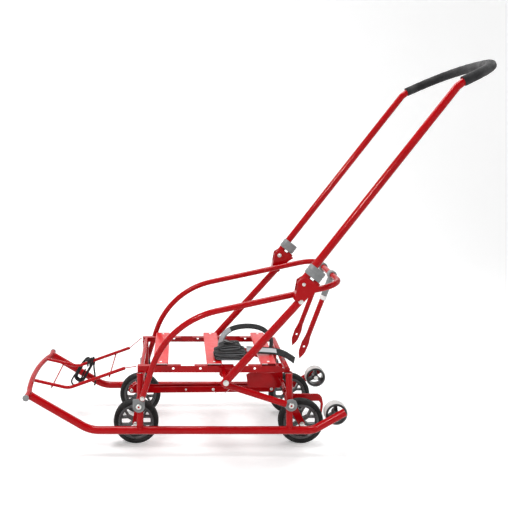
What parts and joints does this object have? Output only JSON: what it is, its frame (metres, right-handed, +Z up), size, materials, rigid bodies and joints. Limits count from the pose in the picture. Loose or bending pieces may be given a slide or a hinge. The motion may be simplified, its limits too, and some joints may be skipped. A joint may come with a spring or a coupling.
{
  "type": "child's wheeled sledge frame",
  "caption": "Bare frame of a child's push sledge: tube runners, slatted seat, arm hoop, folding push handle and road wheels that lift on linked cross shafts.",
  "frame": {"origin": "on the ground under the middle of the bounding box", "axes": "+X towards the tail and the push handle, so the nose points along -X; +Y towards the sledge's right side; +Z up"},
  "size_m": [1.2736, 0.437, 1.0603],
  "materials": {
    "red_paint": "gloss powder coat",
    "grey_plastic": "moulded grey",
    "zinc": "zinc plated",
    "black_rubber": "matt",
    "black_plastic": "moulded dark grey",
    "black_foam": "closed-cell foam",
    "black_webbing": "woven polyester"
  },
  "bodies": {
    "frame": {"runner_left": "red_paint", "runner_right": "red_paint", "nose_bow": "red_paint", "footrest_rail_left": "red_paint", "footrest_rail_right": "red_paint", "footrest_rod_front": "red_paint", "footrest_rod_rear": "red_paint", "seat_rail_left": "red_paint", "seat_rail_right": "red_paint", "seat_cross_front": "red_paint", "seat_cross_rear": "red_paint", "seat_slat_front": "red_paint", "seat_slat_middle": "red_paint", "seat_slat_rear": "red_paint", "front_leg_left": "red_paint", "front_leg_right": "red_paint", "rear_leg_left": "red_paint", "rear_leg_right": "red_paint", "hoop": "red_paint", "handle_lower_left": "red_paint", "handle_lower_right": "red_paint", "handle_gusset_left": "red_paint", "handle_gusset_right": "red_paint", "brace_left": "red_paint", "brace_right": "red_paint", "hinge_bracket_left": "red_paint", "hinge_bracket_right": "red_paint", "lift_spring": "red_paint", "spring_bracket": "red_paint", "bearing_front_left": "grey_plastic", "bearing_front_right": "grey_plastic", "bearing_rear_left": "grey_plastic", "bearing_rear_right": "grey_plastic", "small_axle_left": "zinc", "small_axle_right": "zinc", "tow_rope": "black_webbing", "harness_bundle": "black_webbing", "harness_strap": "black_webbing", "harness_arch": "black_webbing"},
    "front_lift": {"front_carrier": "red_paint"},
    "link": {"lift_link": "red_paint"},
    "rear_lift": {"rear_carrier": "red_paint", "foot_lever": "red_paint"},
    "handle": {"handle_upper": "red_paint", "handle_grip": "black_foam"},
    "wheel_front_left": {"tyre_front_left": "black_rubber", "rim_front_left": "black_plastic"},
    "wheel_front_right": {"tyre_front_right": "black_rubber", "rim_front_right": "black_plastic"},
    "wheel_rear_left": {"tyre_rear_left": "black_rubber", "rim_rear_left": "black_plastic"},
    "wheel_rear_right": {"tyre_rear_right": "black_rubber", "rim_rear_right": "black_plastic"},
    "tail_wheel_left": {"small_wheel_left": "black_plastic"},
    "sleeve_left": {"locking_sleeve_left": "grey_plastic"},
    "strut_left": {"back_strut_left": "red_paint"},
    "tail_wheel_right": {"small_wheel_right": "black_plastic"},
    "sleeve_right": {"locking_sleeve_right": "grey_plastic"},
    "strut_right": {"back_strut_right": "red_paint"}
  },
  "joints": [
    {"name": "wheel_lift", "type": "hinge", "parent": "frame", "child": "rear_lift", "pos_m": [0.0882, 0, 0.1345], "axis": [0, -1, 0], "range_deg": [0, 97]},
    {"name": "front_wheel_lift", "type": "hinge", "parent": "frame", "child": "front_lift", "pos_m": [-0.32, 0, 0.131], "axis": [0, -1, 0], "range_deg": [0, 97]},
    {"name": "link_pivot", "type": "hinge", "parent": "front_lift", "child": "link", "pos_m": [-0.35099, 0, 0.11452], "axis": [0, -1, 0], "range_deg": [-97, 0]},
    {"name": "handle_fold", "type": "hinge", "parent": "frame", "child": "handle", "pos_m": [0.1067, 0, 0.475], "axis": [0, -1, 0], "range_deg": [0, 120]},
    {"name": "lock_slide_left", "type": "slide", "parent": "handle", "child": "sleeve_left", "axis": [0.6074, 0, 0.7944], "range_m": [0, 0.035]},
    {"name": "lock_slide_right", "type": "slide", "parent": "handle", "child": "sleeve_right", "axis": [0.6074, 0, 0.7944], "range_m": [0, 0.035]},
    {"name": "spin_front_left", "type": "hinge", "parent": "front_lift", "child": "wheel_front_left", "pos_m": [-0.3317, -0.098, 0.0625], "axis": [0, -1, 0], "continuous": true},
    {"name": "spin_front_right", "type": "hinge", "parent": "front_lift", "child": "wheel_front_right", "pos_m": [-0.3317, 0.098, 0.0625], "axis": [0, -1, 0], "continuous": true},
    {"name": "spin_rear_left", "type": "hinge", "parent": "rear_lift", "child": "wheel_rear_left", "pos_m": [0.1264, -0.098, 0.0625], "axis": [0, -1, 0], "continuous": true},
    {"name": "spin_rear_right", "type": "hinge", "parent": "rear_lift", "child": "wheel_rear_right", "pos_m": [0.1264, 0.098, 0.0625], "axis": [0, -1, 0], "continuous": true},
    {"name": "tail_spin_left", "type": "hinge", "parent": "frame", "child": "tail_wheel_left", "pos_m": [0.2144, -0.1355, 0.10128], "axis": [0, -1, 0], "continuous": true},
    {"name": "tail_spin_right", "type": "hinge", "parent": "frame", "child": "tail_wheel_right", "pos_m": [0.2144, 0.1355, 0.10128], "axis": [0, -1, 0], "continuous": true},
    {"name": "strut_swing_left", "type": "hinge", "parent": "frame", "child": "strut_left", "pos_m": [0.2154, -0.0575, 0.466], "axis": [0, -1, 0], "range_deg": [0, 60]},
    {"name": "strut_swing_right", "type": "hinge", "parent": "frame", "child": "strut_right", "pos_m": [0.2154, 0.0575, 0.466], "axis": [0, -1, 0], "range_deg": [0, 60]}
  ],
  "couplings": [
    {"joint": "front_wheel_lift", "follows": "wheel_lift", "ratio": 1},
    {"joint": "link_pivot", "follows": "wheel_lift", "ratio": -1}
  ]
}
